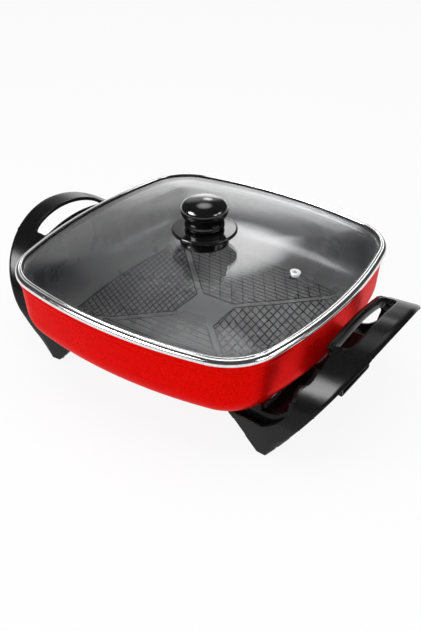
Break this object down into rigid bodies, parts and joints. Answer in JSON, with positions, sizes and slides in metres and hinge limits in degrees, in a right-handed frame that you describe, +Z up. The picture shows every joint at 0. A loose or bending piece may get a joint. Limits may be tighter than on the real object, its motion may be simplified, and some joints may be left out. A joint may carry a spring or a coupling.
{
  "type": "electric frying pan",
  "caption": "Square electric frying pan on two looped side handles that carry the feet, with a plug socket hood at one side and a lift-off domed glass lid with steel rim, vent and knob.",
  "frame": {"origin": "middle of the footprint, on the table", "axes": "+X from the middle towards the handle with the plug socket, +Y along that handle, +Z up"},
  "size_m": [0.443, 0.324, 0.1947],
  "materials": {
    "enamel": "glossy red enamel outside, dark grey non-stick coat inside",
    "cast_aluminium": "as cast, dull",
    "element_sheath": "heat-darkened satin",
    "plated_steel": "zinc plated, satin",
    "porcelain": "unglazed ceramic",
    "black_plastic": "black, satin to gloss",
    "knob_plastic": "black, gloss",
    "pad_rubber": "matt",
    "seal_rubber": "matt silicone",
    "lid_glass": "clear toughened glass",
    "rim_steel": "polished stainless steel",
    "insert_brass": "as turned"
  },
  "bodies": {
    "pan": {"pan_body": "enamel", "heating_element": "element_sheath", "terminal_pins": "plated_steel", "terminal_insulators": "porcelain", "probe_block": "cast_aluminium", "probe_sleeve": "plated_steel", "socket_guard": "plated_steel", "guard_screws": "plated_steel", "bracket_right": "plated_steel", "bracket_left": "plated_steel", "bracket_screws": "plated_steel", "bracket_nuts": "plated_steel", "handle_right": "black_plastic", "handle_left": "black_plastic", "handle_screws": "plated_steel", "foot_pads": "pad_rubber"},
    "lid": {"lid_glass": "lid_glass", "lid_rim": "rim_steel", "lid_seal": "seal_rubber", "vent_eyelet": "rim_steel", "knob_seat": "knob_plastic", "knob_heat_guard": "knob_plastic", "knob_grip": "knob_plastic", "knob_insert": "insert_brass", "knob_screw": "plated_steel", "knob_washer": "plated_steel", "knob_gasket": "seal_rubber"}
  },
  "joints": [
    {"name": "lid_lift", "type": "slide", "parent": "pan", "child": "lid", "axis": [0, 0, 1], "range_m": [0, 0.15]}
  ]
}
